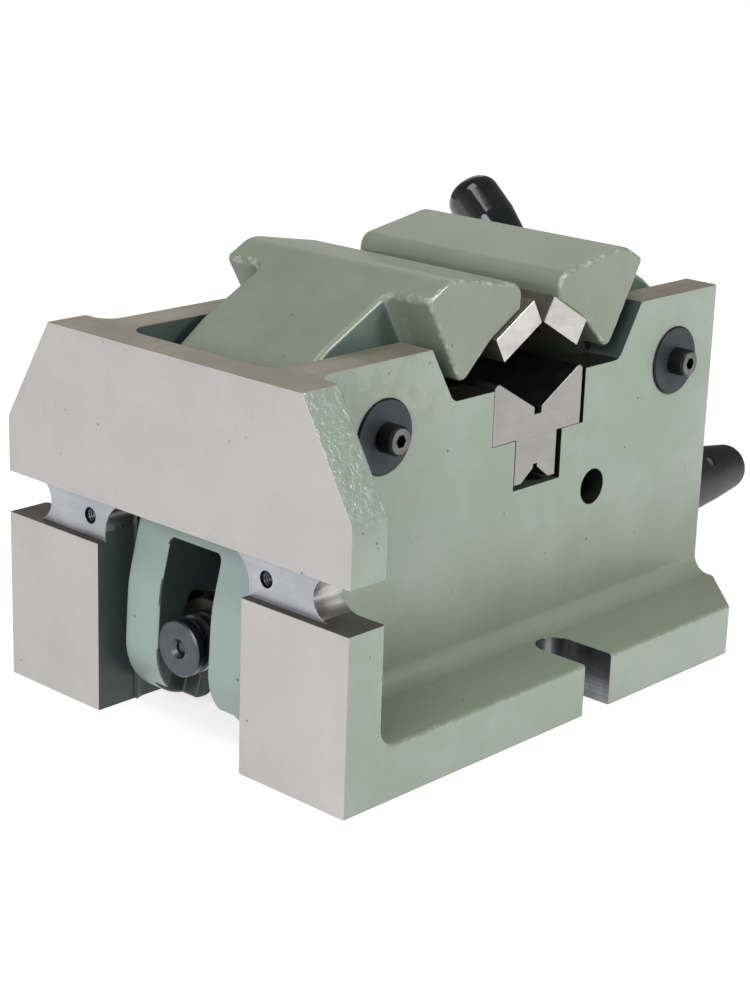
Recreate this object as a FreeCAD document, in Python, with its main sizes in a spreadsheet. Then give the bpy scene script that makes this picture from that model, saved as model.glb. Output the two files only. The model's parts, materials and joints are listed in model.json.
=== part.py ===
import FreeCAD, Part
import math
import os
from types import SimpleNamespace

import Sketcher
from FreeCAD import Placement, Rotation, Vector

# Self-centering vise. X runs along the lead screw, away from the ground end face, Y runs along the
# jaws, Z is up. The origin is on the base, under the middle of the vee block. Everything is in mm.

DRIVING_SIZES = {
    # Body casting, from the vee's centre plane and from the base.
    "back_reach": 155,
    "front_reach": 127,
    "body_height": 161.5,
    "wall_outside": 60,
    "wall_inside": 42.5,
    "plate_thick": 20,
    "plate_inside": 15.5,
    "base_half": 100,
    "shoulder_height": 116.5,
    "top_half": 73,
    "arch_height": 92,
    "arch_round": 14,
    "flange_height": 23.5,
    "flange_reach": 98,
    "flange_tip": 71,
    "flange_fillet": 8,
    "slab_half": 45,
    "slab_height": 14,
    "web_half": 16,
    "web_top": 91.5,
    "mouth_floor": 137.8,
    "mouth_floor_half": 55,
    "mouth_top_half": 69,
    # Slots and holes that take the machine's bolts, keys and stop rod.
    "bolt_slot_half": 9,
    "base_slot_centre": 77,
    "notch_centre": 86.3,
    "foot_height": 74,
    "key_slot_deep": 4,
    "key_screw_radius": 3.4,
    "key_screw_centre": 52,
    "key_screw_deep": 25,
    "stop_rod_radius": 8,
    "stop_rod_place": 41,
    "stop_rod_height": 82.5,
    # Vee block and the stepped slot that seats it.
    "block_half": 29.2,
    "block_height": 140,
    "block_step": 113.6,
    "block_foot_half": 13.6,
    "block_foot": 93.7,
    "slot_back": 29.3,
    "slot_front": 31.5,
    "slot_foot_back": 14,
    "slot_foot_front": 17,
    "vee_half": 26,
    "vee_flank_angle": 30,
    "vee_relief_half": 2.3,
    "small_vee_half": 9.1,
    # Jaws, pads and pivots.
    "pivot_reach": 96,
    "pivot_height": 131,
    "pin_radius": 12,
    "running_gap": 0.05,
    "side_gap": 0.3,
    "bush_radius": 15,
    "washer_radius": 20,
    "jaw_bar_half": 58,
    "crest_inboard": 39.5,
    "crest_rise": 56.8,
    "crest_fall": 27.5,
    "ear_round": 5,
    "crest_round": 2.5,
    "end_round": 1.5,
    "jaw_arm_half": 36,
    "fork_half": 15,
    "fork_top": 80.5,
    "pad_thick": 12,
    "pad_width": 27,
    "pad_length": 120,
    "pad_edge_reach": 0.6,
    "pad_edge_height": 162.5,
    "pad_screw_pitch": 42,
    "pad_screw_radius": 3,
    "pad_screw_head": 6.2,
    "pad_screw_deep": 9,
    "cap_radius": 15.6,
    "cap_thick": 1.3,
    "cap_screw_radius": 4,
    "cap_screw_head": 6.2,
    "cap_screw_head_tall": 8,
    # Lead screw, trunnion nuts and centre bearing.
    "screw_height": 38.7,
    "screw_radius": 12,
    "screw_end": 149,
    "thread_start": 60,
    "relief_radius": 9.5,
    "collar_radius": 17,
    "collar_half": 4,
    "shank_radius": 9,
    "nut_radius": 17.5,
    "nut_half": 9,
    "nut_flat": 14.6,
    "nut_place": 124,
    "trunnion_radius": 8,
    "trunnion_half": 23,
    "trunnion_gap": 0.6,
    "bearing_half": 38,
    "bearing_foot": 17,
    "bearing_screw_place": 28,
    "bearing_screw_radius": 5,
    "bearing_screw_head": 8,
    # Handle.
    "hub_start": 158,
    "hub_radius": 20,
    "hub_neck": 219,
    "hub_neck_radius": 14.5,
    "hub_end": 245,
    "hub_nose_radius": 11.6,
    "hub_pin_place": 208,
    "hub_pin_radius": 3,
    "lever_place": 190,
    "lever_lean": 48,
    "lever_radius": 6.5,
    "grip_centre": 186,
    "grip_radius": 14,
    "grip_length": 70,
    "grip_neck_radius": 9,
}


class Size:
    """A number that remembers the sheet expression it comes from."""

    def __init__(self, number, text):
        self.number = number
        self.text = text

    def joined(self, sign, other, number):
        return Size(number, f"({self.text} {sign} {other.text})")

    def __add__(self, other):
        other = sized(other)
        return self.joined("+", other, self.number + other.number)

    def __radd__(self, other):
        return sized(other) + self

    def __sub__(self, other):
        other = sized(other)
        return self.joined("-", other, self.number - other.number)

    def __rsub__(self, other):
        return sized(other) - self

    def __mul__(self, other):
        other = sized(other)
        return self.joined("*", other, self.number * other.number)

    def __rmul__(self, other):
        return sized(other) * self

    def __truediv__(self, other):
        other = sized(other)
        return self.joined("/", other, self.number / other.number)

    def __neg__(self):
        return Size(-self.number, f"(0 - {self.text})")


def sized(number):
    return number if isinstance(number, Size) else Size(float(number), f"({number:.6g})")


def sine(angle):
    angle = sized(angle)
    return Size(math.sin(math.radians(angle.number)), f"sin({angle.text})")


def cosine(angle):
    angle = sized(angle)
    return Size(math.cos(math.radians(angle.number)), f"cos({angle.text})")


doc = FreeCAD.newDocument("vise")
sheet = doc.addObject("Spreadsheet::Sheet", "Dims")
for row, (alias, number) in enumerate(DRIVING_SIZES.items(), 1):
    sheet.set(f"A{row}", alias.replace("_", " "))
    sheet.set(f"B{row}", str(number))
    sheet.setAlias(f"B{row}", alias)
doc.recompute()
d = SimpleNamespace(**{alias: Size(number, f"Dims.{alias}") for alias, number in DRIVING_SIZES.items()})


def bind(item, field, size):
    item.setExpression(field, sized(size).text)


def new_body(name):
    body = doc.addObject("PartDesign::Body", name)
    body.Label = name
    return body


def new_sketch(body, name, plane, offset=0):
    sketch = body.newObject("Sketcher::SketchObject", f"{body.Name}_{name}")
    support = next(feature for feature in body.Origin.OriginFeatures if feature.Role == plane)
    sketch.AttachmentSupport = [(support, "")]
    sketch.MapMode = "FlatFace"
    bind(sketch, "AttachmentOffset.Base.z", offset)
    return sketch


def hold_point(sketch, shape, end, place):
    """Dimension one point from the sketch's origin, by the sheet."""
    for kind, axis, size in (("DistanceX", -2, place[0]), ("DistanceY", -1, place[1])):
        size = sized(size)
        if size.number == 0:
            sketch.addConstraint(Sketcher.Constraint("PointOnObject", shape, end, axis))
        else:
            rule = sketch.addConstraint(Sketcher.Constraint(kind, -1, 1, shape, end, size.number))
            bind(sketch, f"Constraints[{rule}]", size)


def draw_circle(sketch, centre, radius):
    middle = Vector(sized(centre[0]).number, sized(centre[1]).number, 0)
    circle = sketch.addGeometry(Part.Circle(middle, Vector(0, 0, 1), sized(radius).number))
    hold_point(sketch, circle, 3, centre)
    rule = sketch.addConstraint(Sketcher.Constraint("Radius", circle, sized(radius).number))
    bind(sketch, f"Constraints[{rule}]", radius)


def draw_outline(sketch, corners):
    """Close the corners into one wire. A corner's third value is the radius that rounds it."""
    points = [Vector(sized(corner[0]).number, sized(corner[1]).number, 0) for corner in corners]
    count = len(corners)
    leaves = []
    for index, corner in enumerate(corners):
        here = points[index]
        if len(corner) == 2:
            leaves.append((here, here, None))
            continue
        back = (points[index - 1] - here).normalize()
        ahead = (points[(index + 1) % count] - here).normalize()
        half_angle = back.getAngle(ahead) / 2
        radius = sized(corner[2]).number
        reach = radius / math.tan(half_angle)
        middle = here + (back + ahead).normalize() * (radius / math.sin(half_angle) - radius)
        leaves.append((here + back * reach, here + ahead * reach, middle))
    sides = []
    for index in range(count):
        start = leaves[index][1]
        end = leaves[(index + 1) % count][0]
        sides.append(sketch.addGeometry(Part.LineSegment(start, end)))
    for index, corner in enumerate(corners):
        before, after = sides[index - 1], sides[index]
        start, end, middle = leaves[index]
        if middle is None:
            sketch.addConstraint(Sketcher.Constraint("Coincident", before, 2, after, 1))
            hold_point(sketch, after, 1, corner)
            continue
        arc = sketch.addGeometry(Part.Arc(start, middle, end))
        first = 1 if (sketch.getPoint(arc, 1) - start).Length < 1e-4 else 2
        sketch.addConstraint(Sketcher.Constraint("Tangent", before, 2, arc, first))
        sketch.addConstraint(Sketcher.Constraint("Tangent", arc, 3 - first, after, 1))
        rule = sketch.addConstraint(Sketcher.Constraint("Radius", arc, sized(corner[2]).number))
        bind(sketch, f"Constraints[{rule}]", corner[2])
        peg = sketch.addGeometry(Part.Point(points[index]), True)
        sketch.addConstraint(Sketcher.Constraint("PointOnObject", peg, 1, before))
        sketch.addConstraint(Sketcher.Constraint("PointOnObject", peg, 1, after))
        hold_point(sketch, peg, 1, corner)


def box_corners(low, high):
    return [(low[0], low[1]), (high[0], low[1]), (high[0], high[1]), (low[0], high[1])]


def extrude(kind, body, name, plane, length, corners=(), circles=(), offset=0, both_ways=True):
    """Pad or pocket an outline, or circles, to both sides of its plane unless told otherwise."""
    sketch = new_sketch(body, f"{name}_sketch", plane, offset)
    if corners:
        draw_outline(sketch, corners)
    for centre, radius in circles:
        draw_circle(sketch, centre, radius)
    feature = body.newObject(f"PartDesign::{kind}", f"{body.Name}_{name}")
    feature.Profile = sketch
    feature.Midplane = both_ways
    bind(feature, "Length", length)
    return feature


def turn(body, name, corners, axis="H_Axis", kind="Revolution"):
    """Turn a half section about the sketch's own axis."""
    sketch = new_sketch(body, f"{name}_sketch", "XY_Plane")
    draw_outline(sketch, corners)
    feature = body.newObject(f"PartDesign::{kind}", f"{body.Name}_{name}")
    feature.Profile = sketch
    feature.ReferenceAxis = (sketch, [axis])
    feature.Angle = 360
    return feature


def round_edges(body, name, base, radius, wanted):
    """Fillet the edges of a feature whose ends and middle pass a test."""
    doc.recompute()
    edges = []
    for index, edge in enumerate(base.Shape.Edges, 1):
        if wanted(edge, edge.CenterOfMass):
            edges.append(f"Edge{index}")
    fillet = body.newObject("PartDesign::Fillet", f"{body.Name}_{name}")
    fillet.Base = (base, edges)
    bind(fillet, "Radius", radius)
    return fillet


def place(body, x=0, y=0, z=0, axis=Vector(0, 0, 1), angle=0):
    body.Placement = Placement(Vector(0, 0, 0), Rotation(axis, sized(angle).number))
    for field, size in (("x", x), ("y", y), ("z", z)):
        bind(body, f"Placement.Base.{field}", size)
    if sized(angle).number:
        bind(body, "Placement.Rotation.Angle", angle)


FAR = 400
OVERRUN = 20


def build_casting():
    body = new_body("body_casting")
    back = -d.back_reach
    extrude("Pad", body, "flanges", "XY_Plane", d.flange_height, both_ways=False, corners=[
        (back, -d.base_half), (d.flange_reach, -d.base_half), (d.front_reach, -d.flange_tip),
        (d.front_reach, d.flange_tip), (d.flange_reach, d.base_half), (back, d.base_half)])
    extrude("Pad", body, "walls", "XY_Plane", d.body_height, both_ways=False, corners=box_corners(
        (back, -d.wall_outside), (d.front_reach, d.wall_outside)))
    extrude("Pad", body, "end_plate", "YZ_Plane", d.plate_thick, offset=back, both_ways=False, corners=[
        (-d.base_half, 0), (d.base_half, 0), (d.base_half, d.shoulder_height),
        (d.top_half, d.body_height), (-d.top_half, d.body_height), (-d.base_half, d.shoulder_height)])

    # Cast corners, where the walls, the flanges and the end plate meet.
    def cast_corner(edge, middle):
        on_wall = abs(abs(middle.y) - d.wall_outside.number) < 0.01 and edge.Length > 20
        on_flange = abs(middle.z - d.flange_height.number) < 0.01
        on_plate = abs(middle.x + (d.back_reach - d.plate_thick).number) < 0.01
        return on_wall + on_flange + on_plate == 2

    round_edges(body, "cast_corners", body.Tip, d.flange_fillet, cast_corner)

    # The channel between the walls runs out of the front, and the arch opens it to the back.
    inside = back + d.plate_inside
    extrude("Pocket", body, "channel", "XY_Plane", FAR, corners=[
        (inside, -d.wall_inside, 10), (d.front_reach + OVERRUN, -d.wall_inside),
        (d.front_reach + OVERRUN, d.wall_inside), (inside, d.wall_inside, 10)])
    extrude("Pocket", body, "arch", "YZ_Plane", d.plate_thick * 2, offset=back, corners=[
        (-d.wall_inside, -OVERRUN), (d.wall_inside, -OVERRUN),
        (d.wall_inside, d.arch_height, d.arch_round), (-d.wall_inside, d.arch_height, d.arch_round)])

    # A slab ties the walls at the base, and the centre web above it carries the bearing.
    reach = d.wall_inside + 1
    extrude("Pad", body, "slab", "XY_Plane", d.slab_height, both_ways=False, corners=box_corners(
        (-d.slab_half, -reach), (d.slab_half, reach)))
    extrude("Pad", body, "centre_web", "XZ_Plane", reach * 2, corners=box_corners(
        (-d.web_half, d.screw_height), (d.web_half, d.web_top)))

    # Mouth for the jaw bars, and the stepped slot of the vee block below it.
    above = d.body_height + OVERRUN
    slope = (d.mouth_top_half - d.mouth_floor_half) / (d.body_height - d.mouth_floor)
    mouth_half = d.mouth_top_half + slope * OVERRUN
    extrude("Pocket", body, "mouth", "XZ_Plane", FAR, corners=[
        (-d.mouth_floor_half, d.mouth_floor, 5), (d.mouth_floor_half, d.mouth_floor, 5),
        (mouth_half, above), (-mouth_half, above)])
    extrude("Pocket", body, "vee_slot", "XZ_Plane", FAR, corners=[
        (-d.slot_back, d.block_step), (-d.slot_foot_back, d.block_step), (-d.slot_foot_back, d.web_top),
        (d.slot_foot_front, d.web_top), (d.slot_foot_front, d.block_step), (d.slot_front, d.block_step),
        (d.slot_front, d.block_height), (-d.slot_back, d.block_height)])

    # Slots in the flanges and notches in the end plate take the clamping bolts.
    for side in (-1, 1):
        name = "near" if side < 0 else "far"
        edge = d.base_half + OVERRUN
        extrude("Pocket", body, f"{name}_base_slot", "XY_Plane", FAR / 4, corners=slot_corners(
            d.base_slot_centre, edge, 0, d.bolt_slot_half, side, upright=True))
        extrude("Pocket", body, f"{name}_notch", "YZ_Plane", d.plate_thick * 3, offset=back,
                corners=slot_corners(d.notch_centre, edge, d.foot_height + d.bolt_slot_half,
                                     d.bolt_slot_half, side, upright=False))
    key_height = d.foot_height + d.bolt_slot_half
    extrude("Pocket", body, "key_slot", "YZ_Plane", d.key_slot_deep * 2, offset=back, corners=box_corners(
        (-d.notch_centre, d.foot_height), (d.notch_centre, d.arch_height)))
    extrude("Pocket", body, "key_screws", "YZ_Plane", d.key_screw_deep * 2, offset=back, circles=[
        ((-d.key_screw_centre, key_height), d.key_screw_radius),
        ((d.key_screw_centre, key_height), d.key_screw_radius)])

    # Bores across the walls.
    extrude("Pocket", body, "stop_rod_bore", "XZ_Plane", FAR, circles=[
        ((d.stop_rod_place, d.stop_rod_height), d.stop_rod_radius)])
    extrude("Pocket", body, "pivot_bores", "XZ_Plane", FAR, circles=[
        ((-d.pivot_reach, d.pivot_height), d.pin_radius), ((d.pivot_reach, d.pivot_height), d.pin_radius)])

    # Upper half of the centre bearing, its screw holes and the key's way to them through the slab.
    seat = (0, d.screw_height)
    extrude("Pocket", body, "screw_bore", "YZ_Plane", d.web_half * 2 + 2, circles=[
        (seat, d.screw_radius + d.running_gap)])
    extrude("Pocket", body, "collar_groove", "YZ_Plane", d.collar_half * 2 + d.running_gap * 2, circles=[
        (seat, d.collar_radius + d.running_gap * 2)])
    for side in (-1, 1):
        name = "near" if side < 0 else "far"
        spot = (0, d.bearing_screw_place * side)
        extrude("Pocket", body, f"{name}_bearing_tap", "XY_Plane", 44, offset=d.screw_height, circles=[
            (spot, d.bearing_screw_radius)])
        extrude("Pocket", body, f"{name}_key_way", "XY_Plane", d.slab_height * 2 + 2, circles=[
            (spot, d.bearing_screw_head + 1)])


def slot_corners(centre, edge, across, half, side, upright):
    """A slot with a rounded inner end that runs out past an edge, on one side."""
    inner = (centre - half) * side
    outer = edge * side
    low, high = across - half, across + half
    rounding = half * 0.999
    if upright:
        return [(low, inner, rounding), (high, inner, rounding), (high, outer), (low, outer)]
    return [(inner, low, rounding), (inner, high, rounding), (outer, high), (outer, low)]


def build_vee_block():
    body = new_body("vee_block")
    rise = (d.vee_half - d.vee_relief_half) * sine(d.vee_flank_angle) / cosine(d.vee_flank_angle)
    root = d.block_height - rise
    right = [(d.vee_relief_half, root - 3), (d.vee_relief_half, root), (d.vee_half, d.block_height),
             (d.block_half - 1.5, d.block_height), (d.block_half, d.block_height - 1.5),
             (d.block_half, d.block_step), (d.block_foot_half, d.block_step),
             (d.block_foot_half, d.block_foot), (d.small_vee_half, d.block_foot),
             (1.3, d.block_foot + 5.7), (1.3, d.block_foot + 7.3)]
    left = [(-across, up) for across, up in reversed(right)]
    extrude("Pad", body, "block", "XZ_Plane", d.wall_outside * 2, corners=right + left)


def build_jaw(side, name):
    """One rocking jaw. Corners are measured outboard of its pivot and above it."""
    body = new_body(name)

    def corner(out, up, *radius):
        return ((d.pivot_reach + out) * side, d.pivot_height + up, *radius)

    def on_seat(along, *radius):
        """A point on the pad's seat, measured down it from the seat's upper end."""
        out, up = pad_corner(along, d.pad_thick)
        return (out * side, up, *radius)

    def on_crest(along, *radius):
        """A point on the sloping face that the bar's top and the arm's back share."""
        return corner(along * cosine(d.crest_fall) - d.crest_inboard,
                      d.crest_rise - along * sine(d.crest_fall), *radius)

    extrude("Pad", body, "bar", "XZ_Plane", d.jaw_bar_half * 2, corners=[
        on_seat(7, 1.5), on_seat(28), corner(-47.5, 11.5, 4), on_crest(15.9), on_crest(0, 14),
        corner(-84.4, 49.2, 7)])
    extrude("Pad", body, "arm", "XZ_Plane", d.jaw_arm_half * 2, corners=[
        corner(-50, 42), on_crest(11), on_crest(53.2, 20), corner(24, 20.5, 14),
        corner(41.2, -40, 30), corner(49.5, -73, 60), corner(52.5, -126, 27), corner(20, -126, 5),
        corner(13, -106, 8), corner(13, -71, 12), corner(2, -51, 14), corner(-20, -27, 12),
        corner(-30, -3, 10), corner(-44.5, 20)])

    # The bar's ears flow into the arm's sides, and the edge along both is softened.
    def ear_corner(edge, middle):
        inboard = d.pivot_reach.number - middle.x * side
        return abs(abs(middle.y) - d.jaw_arm_half.number) < 0.01 and edge.Length > 30 and inboard > 25

    def crest_edge(edge, middle):
        inboard = d.pivot_reach.number - middle.x * side
        drop = (d.crest_inboard.number - inboard) * math.tan(math.radians(d.crest_fall.number))
        on_crest_face = abs(middle.z - (d.pivot_height + d.crest_rise).number + drop) < 0.01
        return on_crest_face and inboard < 31 and 20 < abs(middle.y) < d.jaw_bar_half.number - 1

    def end_edge(edge, middle):
        inboard, rise = d.pivot_reach.number - middle.x * side, middle.z - d.pivot_height.number
        on_pad_seat = 66 < inboard and rise < 38
        return abs(abs(middle.y) - d.jaw_bar_half.number) < 0.01 and not on_pad_seat

    round_edges(body, "ear_corners", body.Tip, d.ear_round, ear_corner)
    round_edges(body, "crest_edges", body.Tip, d.crest_round, crest_edge)
    round_edges(body, "end_edges", body.Tip, d.end_round, end_edge)
    extrude("Pocket", body, "fork_slot", "YZ_Plane", FAR, corners=[
        (-d.fork_half, -OVERRUN), (d.fork_half, -OVERRUN),
        (d.fork_half, d.fork_top, 3), (-d.fork_half, d.fork_top, 3)])

    # The nut's trunnions run in grooves that point at the pivot.
    drop = d.pivot_height - d.screw_height
    lean = math.degrees(math.atan2((d.nut_place - d.pivot_reach).number, drop.number))
    half = d.trunnion_radius + d.trunnion_gap

    def in_groove(down, across, *radius):
        out = sine(lean) * down + cosine(lean) * across
        up = sine(lean) * across - cosine(lean) * down
        return corner(out, up, *radius)

    top = drop - d.trunnion_radius - 2
    extrude("Pocket", body, "trunnion_grooves", "XZ_Plane", (d.trunnion_half + d.trunnion_gap) * 2,
            corners=[in_groove(top, -half, 3), in_groove(top, half, 3), in_groove(150, half),
                     in_groove(150, -half)])
    extrude("Pocket", body, "bush_bore", "XZ_Plane", FAR, circles=[
        ((d.pivot_reach * side, d.pivot_height), d.bush_radius)])

    # Tapped holes for the pad's screws, square to the seat.
    sketch = new_sketch(body, "pad_screw_sketch", "XY_Plane")
    middle = pad_corner(d.pad_width / 2, d.pad_thick)
    sketch.AttachmentOffset = Placement(Vector(0, 0, 0), Rotation(Vector(0, 1, 0), -150.0 * side))
    bind(sketch, "AttachmentOffset.Base.x", middle[0] * side)
    bind(sketch, "AttachmentOffset.Base.z", middle[1])
    for row in (-1, 0, 1):
        draw_circle(sketch, (0, d.pad_screw_pitch * row), d.pad_screw_radius)
    holes = body.newObject("PartDesign::Pocket", f"{name}_pad_screw_holes")
    holes.Profile = sketch
    holes.Midplane = True
    bind(holes, "Length", d.pad_screw_deep * 2 + 3)


def pad_corner(along, deep):
    """Outboard distance and height of a point on a pad, along it from its inner edge and behind its face."""
    along, deep = sized(along), sized(deep)
    out = d.pad_edge_reach + along * cosine(30) + deep * sine(30)
    up = d.pad_edge_height - along * sine(30) + deep * cosine(30)
    return out, up


def place_on_pad(body, side, along_jaw, deep):
    """Turn a piece made upright so that its top faces out of the clamping face."""
    out, up = pad_corner(d.pad_width / 2, deep)
    place(body, out * side, along_jaw, up, Vector(0, 1, 0), -150 * side)


def build_pad(side, name):
    body = new_body(f"{name}_pad")
    half_width, half_length = d.pad_width / 2, d.pad_length / 2
    extrude("Pad", body, "plate", "XY_Plane", d.pad_thick, both_ways=False, corners=box_corners(
        (-half_width, -half_length), (half_width, half_length)))
    sketch = new_sketch(body, "screw_sketch", "XY_Plane", d.pad_thick)
    for row in (-1, 0, 1):
        draw_circle(sketch, (0, d.pad_screw_pitch * row), d.pad_screw_radius)
    doc.recompute()
    holes = body.newObject("PartDesign::Hole", f"{body.Name}_countersinks")
    holes.Profile = sketch
    doc.recompute()
    holes.DepthType = "ThroughAll"
    bind(holes, "Diameter", d.pad_screw_radius * 2)
    holes.HoleCutType = "Countersink"
    bind(holes, "HoleCutDiameter", d.pad_screw_head * 2)
    holes.HoleCutCountersinkAngle = 90
    place_on_pad(body, side, 0, d.pad_thick)
    for row, spot in ((-1, "near"), (0, "middle"), (1, "far")):
        screw = new_body(f"{name}_pad_screw_{spot}")
        face = d.pad_thick
        turn(screw, "body", axis="V_Axis", corners=[
            (0, -d.pad_screw_deep), (d.pad_screw_radius - 0.8, -d.pad_screw_deep),
            (d.pad_screw_radius, 0.8 - d.pad_screw_deep),
            (d.pad_screw_radius, face - d.pad_screw_head + d.pad_screw_radius),
            (d.pad_screw_head, face), (0, face)])
        hex_socket(screw, "XZ_Plane", 2.3, 3, face)
        screw.Placement = Placement(Vector(0, 0, 0), Rotation(Vector(0, 1, 0), -150.0 * side).multiply(
            Rotation(Vector(1, 0, 0), 90)))
        out, up = pad_corner(d.pad_width / 2, d.pad_thick)
        bind(screw, "Placement.Base.x", out * side)
        bind(screw, "Placement.Base.y", d.pad_screw_pitch * row)
        bind(screw, "Placement.Base.z", up)


def hex_socket(body, plane, radius, deep, top):
    """Sink a hexagon socket into the top of a turned screw, whose axis is the sketch's Y."""
    corners = [(radius * math.cos(math.radians(60 * step)), radius * math.sin(math.radians(60 * step)))
               for step in range(6)]
    extrude("Pocket", body, "socket", plane, sized(deep) * 2, offset=-top, corners=corners)


def socket_screw(name, radius, head_radius, head_tall, shank):
    """A socket head cap screw along Y: its head starts at zero and its shank runs to minus."""
    body = new_body(name)
    turn(body, "body", axis="V_Axis", corners=[
        (0, -shank), (radius - 0.8, -shank), (radius, 0.8 - shank), (radius, 0), (head_radius, 0),
        (head_radius, head_tall - 1), (head_radius - 1, head_tall), (0, head_tall)])
    hex_socket(body, "XZ_Plane", radius.number * 0.69, radius, head_tall)
    return body


def build_pivot(side, name):
    reach = d.pivot_reach * side
    pin = new_body(f"{name}_pivot_pin")
    turn(pin, "shaft", axis="V_Axis", corners=[
        (0, -d.wall_outside), (d.pin_radius - 1, -d.wall_outside), (d.pin_radius, 1 - d.wall_outside),
        (d.pin_radius, d.wall_outside - 1), (d.pin_radius - 1, d.wall_outside), (0, d.wall_outside)])
    for end in (-1, 1):
        extrude("Pocket", pin, "near_tap" if end < 0 else "far_tap", "XZ_Plane", 50,
                offset=d.wall_outside * -end, circles=[((0, 0), d.cap_screw_radius)])
    place(pin, reach, 0, d.pivot_height)

    bush = new_body(f"{name}_pivot_bush")
    inside = d.pin_radius + d.running_gap
    turn(bush, "ring", axis="V_Axis", corners=[
        (inside, -d.jaw_arm_half), (d.bush_radius, -d.jaw_arm_half),
        (d.bush_radius, d.jaw_arm_half), (inside, d.jaw_arm_half)])
    place(bush, reach, 0, d.pivot_height)

    for end, spot in ((-1, "near"), (1, "far")):
        washer = new_body(f"{name}_{spot}_washer")
        low, high = d.jaw_arm_half + d.side_gap, d.wall_inside
        turn(washer, "ring", axis="V_Axis", corners=[
            (inside, low), (d.washer_radius, low), (d.washer_radius, high), (inside, high)])
        place(washer, reach, 0, d.pivot_height, Vector(0, 0, 1), 180 if end < 0 else 0)

        cap = new_body(f"{name}_{spot}_cap")
        turn(cap, "disc", axis="V_Axis", corners=[
            (d.cap_screw_radius, 0), (d.cap_radius, 0), (d.cap_radius, d.cap_thick - 0.6),
            (d.cap_radius - 0.6, d.cap_thick), (d.cap_screw_radius, d.cap_thick)])
        place(cap, reach, d.wall_outside * end, d.pivot_height, Vector(0, 0, 1), 180 if end < 0 else 0)

        screw = socket_screw(f"{name}_{spot}_cap_screw", d.cap_screw_radius, d.cap_screw_head,
                             d.cap_screw_head_tall, 20)
        place(screw, reach, (d.wall_outside + d.cap_thick) * end, d.pivot_height,
              Vector(0, 0, 1), 180 if end < 0 else 0)


def build_nut(side, name):
    body = new_body(f"{name}_nut")
    extrude("Pad", body, "barrel", "YZ_Plane", d.nut_half * 2, circles=[((0, 0), d.nut_radius)])
    for end in (-1, 1):
        edge = d.nut_radius + 5
        corners = box_corners((d.nut_flat * end, -edge), (edge * end, edge))
        extrude("Pocket", body, "near_flat" if end < 0 else "far_flat", "YZ_Plane", FAR,
                corners=corners if end > 0 else corners[::-1])
    extrude("Pad", body, "trunnions", "XZ_Plane", d.trunnion_half * 2, circles=[((0, 0), d.trunnion_radius)])
    extrude("Pocket", body, "screw_bore", "YZ_Plane", FAR, circles=[
        ((0, 0), d.screw_radius + d.running_gap)])
    place(body, d.nut_place * side, 0, d.screw_height)


def build_centre_bearing():
    body = new_body("bearing_cap")
    extrude("Pad", body, "block", "YZ_Plane", d.web_half * 2, corners=[
        (-d.bearing_half, d.bearing_foot, 3), (d.bearing_half, d.bearing_foot, 3),
        (d.bearing_half, d.screw_height), (-d.bearing_half, d.screw_height)])
    seat = (0, d.screw_height)
    extrude("Pocket", body, "screw_bore", "YZ_Plane", FAR, circles=[(seat, d.screw_radius + d.running_gap)])
    extrude("Pocket", body, "collar_groove", "YZ_Plane", d.collar_half * 2 + d.running_gap * 2, circles=[
        (seat, d.collar_radius + d.running_gap * 2)])
    holes = [((0, d.bearing_screw_place * side), d.bearing_screw_radius) for side in (-1, 1)]
    extrude("Pocket", body, "screw_holes", "XY_Plane", FAR, circles=holes)
    sinks = [((0, d.bearing_screw_place * side), d.bearing_screw_head + 0.3) for side in (-1, 1)]
    extrude("Pocket", body, "screw_heads", "XY_Plane", 22, offset=d.bearing_foot, circles=sinks)
    for side, spot in ((-1, "near"), (1, "far")):
        screw = socket_screw(f"bearing_screw_{spot}", d.bearing_screw_radius, d.bearing_screw_head,
                             sized(10), 28)
        place(screw, 0, d.bearing_screw_place * side, d.bearing_foot + 11, Vector(1, 0, 0), -90)


def build_lead_screw():
    body = new_body("lead_screw")
    end, start, shank_end = d.screw_end, d.thread_start, d.hub_neck - 7
    turn(body, "shaft", corners=[
        (-end + 14, 0), (-end + 12, 3.2), (-end + 2.2, 3.2), (-end, 5.4), (-end, d.screw_radius - 1),
        (-end + 1, d.screw_radius), (-start, d.screw_radius), (-start, d.relief_radius),
        (4 - start, d.relief_radius), (4 - start, d.screw_radius), (-d.collar_half, d.screw_radius),
        (-d.collar_half, d.collar_radius), (d.collar_half, d.collar_radius),
        (d.collar_half, d.screw_radius), (start - 4, d.screw_radius), (start - 4, d.relief_radius),
        (start, d.relief_radius), (start, d.screw_radius), (end, d.screw_radius),
        (end + 1, d.screw_radius - 1), (d.hub_start, d.screw_radius - 1), (d.hub_start, d.shank_radius),
        (shank_end, d.shank_radius), (shank_end, 0)])
    extrude("Pocket", body, "pin_hole", "XY_Plane", FAR, circles=[
        ((d.hub_pin_place, 0), d.hub_pin_radius)])
    place(body, 0, 0, d.screw_height, Vector(1, 0, 0), 90 - d.lever_lean)


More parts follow.
